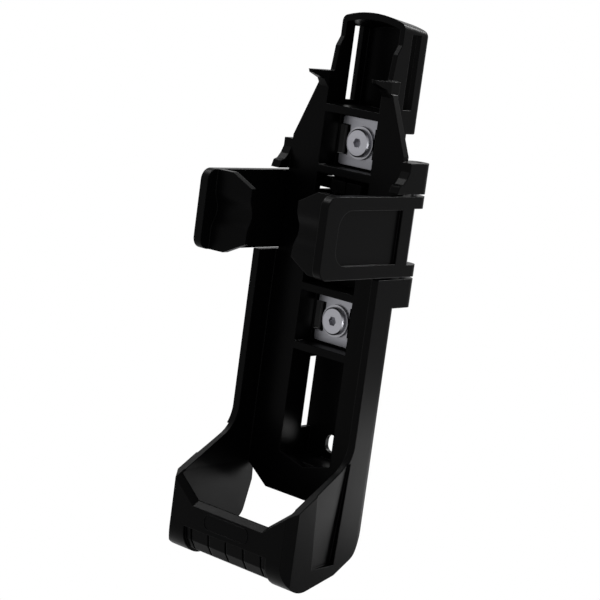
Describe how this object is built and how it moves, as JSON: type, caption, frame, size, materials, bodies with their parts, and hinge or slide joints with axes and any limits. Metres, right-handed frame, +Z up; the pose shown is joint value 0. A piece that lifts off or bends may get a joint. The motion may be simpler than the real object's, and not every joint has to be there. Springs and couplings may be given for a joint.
{
  "type": "bike lock bracket",
  "caption": "Frame-mounted bracket for a folding bike lock: open cradle with a lower cup, strap boxes and two sprung side jaws that grip the lock.",
  "frame": {"origin": "midway between the two frame bolts, on the plane where the screw bays meet the frame's bosses", "axes": "+X right, -Y the open front, +Z up along the bracket"},
  "size_m": [0.058, 0.0612, 0.1964],
  "materials": {
    "cradle_plastic": "fine moulded texture, satin",
    "jaw_plastic": "fine moulded texture, satin",
    "pin_steel": "dark steel",
    "spring_steel": "bright spring wire",
    "plate_steel": "zinc plated",
    "washer_steel": "zinc plated",
    "screw_steel": "zinc plated"
  },
  "bodies": {
    "cradle_body": {"cradle": "cradle_plastic", "left_hinge_pin": "pin_steel", "right_hinge_pin": "pin_steel", "jaw_spring": "spring_steel", "upper_clamp_plate": "plate_steel", "lower_clamp_plate": "plate_steel", "upper_washer": "washer_steel", "lower_washer": "washer_steel", "upper_screw": "screw_steel", "lower_screw": "screw_steel"},
    "right_jaw_body": {"right_jaw": "jaw_plastic"},
    "left_jaw_body": {"left_jaw": "jaw_plastic"}
  },
  "joints": [
    {"name": "right_jaw_hinge", "type": "hinge", "parent": "cradle_body", "child": "right_jaw_body", "pos_m": [0.0253, -0.0033, 0.0041], "axis": [0, 0, 1], "range_deg": [0, 20], "stiffness_Nm_per_rad": 0.15, "springref_deg": -20.05, "deforming": ["jaw_spring"]},
    {"name": "left_jaw_hinge", "type": "hinge", "parent": "cradle_body", "child": "left_jaw_body", "pos_m": [-0.0253, -0.0033, 0.0041], "axis": [0, 0, -1], "range_deg": [0, 20], "stiffness_Nm_per_rad": 0.15, "springref_deg": -20.05, "deforming": ["jaw_spring"]}
  ]
}
